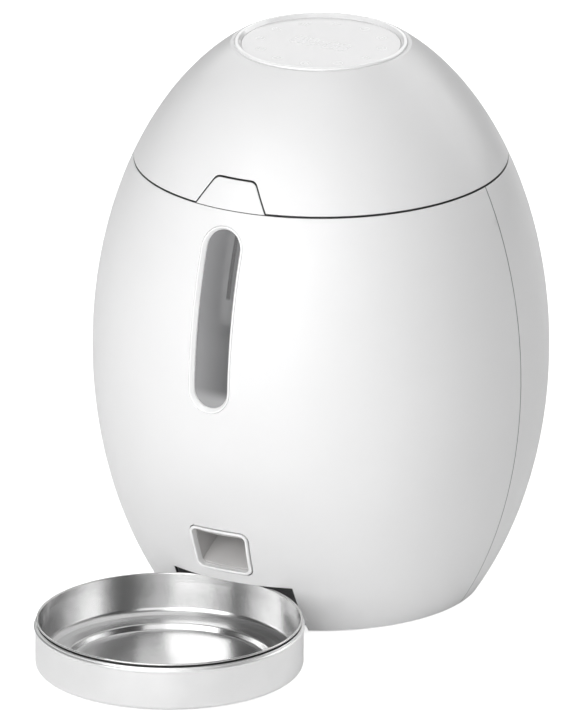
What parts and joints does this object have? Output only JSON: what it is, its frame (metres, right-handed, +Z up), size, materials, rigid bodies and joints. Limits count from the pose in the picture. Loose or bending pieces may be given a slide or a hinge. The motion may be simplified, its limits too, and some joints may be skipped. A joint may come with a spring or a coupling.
{
  "type": "automatic pet feeder",
  "caption": "Egg-shaped automatic pet feeder with hinged lid, touch panel, level window, motor-driven dosing rotor and a steel bowl docked under the outlet.",
  "frame": {"origin": "on the floor, in the middle of the feeder's length, in its plane of symmetry", "axes": "+Z up, -Y towards the bowl (the front), +X to the right of someone who looks at the front"},
  "size_m": [0.26, 0.3804, 0.3227],
  "materials": {
    "body_white": "smooth white, low gloss",
    "trim_white": "polished white",
    "smoked_lens": "smoked, see-through",
    "touch_panel": "pale, very smooth",
    "inner_grey": "moulded, light grey",
    "dark_plastic": "moulded, dark grey",
    "base_grey": "fine grain",
    "rubber_grey": "soft, matte",
    "screw_steel": "zinc plated",
    "battery_skin": "printed sleeve, plain",
    "contact_metal": "nickel plated",
    "circuit_board": "solder mask",
    "jack_black": "moulded black",
    "bin_plastic": "translucent grey",
    "rotor_plastic": "moulded",
    "wiper_rubber": "soft silicone",
    "shaft_steel": "ground",
    "gear_plastic": "acetal, off-white",
    "pinion_brass": "machined",
    "motor_steel": "zinc plated",
    "case_grey": "moulded",
    "spring_steel": "drawn wire",
    "liner_white": "fine grain",
    "seal_silicone": "soft silicone",
    "bowl_steel": "polished inside, spun floor",
    "bowl_satin": "satin, brushed round"
  },
  "bodies": {
    "housing": {"front_shell": "body_white", "rear_shell": "body_white", "window_frame": "trim_white", "outlet_bezel": "trim_white", "window_lens": "smoked_lens", "outlet_chute": "inner_grey", "bowl_dock": "dark_plastic", "base_plate": "base_grey", "battery_door": "base_grey", "rubber_feet": "rubber_grey", "base_screws": "screw_steel", "door_screw": "screw_steel", "board_screws": "screw_steel", "gearbox_screws": "screw_steel", "battery_cells": "battery_skin", "battery_contacts": "contact_metal", "main_board": "circuit_board", "dc_jack": "jack_black", "hopper": "bin_plastic", "dosing_housing": "inner_grey", "dosing_baffle": "inner_grey", "idler_axle": "shaft_steel", "hinge_pin": "shaft_steel", "gear_motor": "motor_steel", "gearbox_case": "case_grey", "gearbox_cover": "case_grey", "latch_bracket": "inner_grey", "button_spring": "spring_steel"},
    "lid": {"lid_shell": "body_white", "lid_liner": "liner_white", "lid_seal": "seal_silicone", "lid_screws": "screw_steel", "panel_ring": "trim_white", "touch_panel": "touch_panel", "display_board": "circuit_board"},
    "button": {"release_button": "body_white"},
    "bowl": {"steel_bowl": "bowl_steel", "bowl_shell": "bowl_satin", "bowl_foot_ring": "rubber_grey"},
    "rotor": {"portion_rotor": "rotor_plastic", "rotor_wipers": "wiper_rubber", "agitator": "rotor_plastic", "rotor_shaft": "shaft_steel", "output_gear": "gear_plastic"},
    "idler": {"idler_gear": "gear_plastic"},
    "pinion": {"motor_pinion": "pinion_brass"}
  },
  "joints": [
    {"name": "lid_hinge", "type": "hinge", "parent": "housing", "child": "lid", "pos_m": [0, 0.16475, 0.2544], "axis": [-1, 0, 0], "range_deg": [0, 95]},
    {"name": "button_press", "type": "slide", "parent": "housing", "child": "button", "axis": [0, 1, 0], "range_m": [0, 0.003], "stiffness_N_per_m": 600, "springref_m": -0.002, "deforming": ["button_spring"]},
    {"name": "bowl_slide", "type": "slide", "parent": "housing", "child": "bowl", "axis": [0, -1, 0], "range_m": [0, 0.09]},
    {"name": "rotor_spin", "type": "hinge", "parent": "housing", "child": "rotor", "pos_m": [0, 0.06025, 0.1], "axis": [0, 0, 1], "continuous": true},
    {"name": "idler_spin", "type": "hinge", "parent": "housing", "child": "idler", "pos_m": [0.01838, 0.07863, 0.075], "axis": [0, 0, 1], "continuous": true},
    {"name": "pinion_spin", "type": "hinge", "parent": "housing", "child": "pinion", "pos_m": [0.00481, 0.09221, 0.07], "axis": [0, 0, 1], "continuous": true}
  ],
  "couplings": [
    {"joint": "idler_spin", "follows": "rotor_spin", "ratio": -3.3333},
    {"joint": "pinion_spin", "follows": "rotor_spin", "ratio": 10}
  ]
}
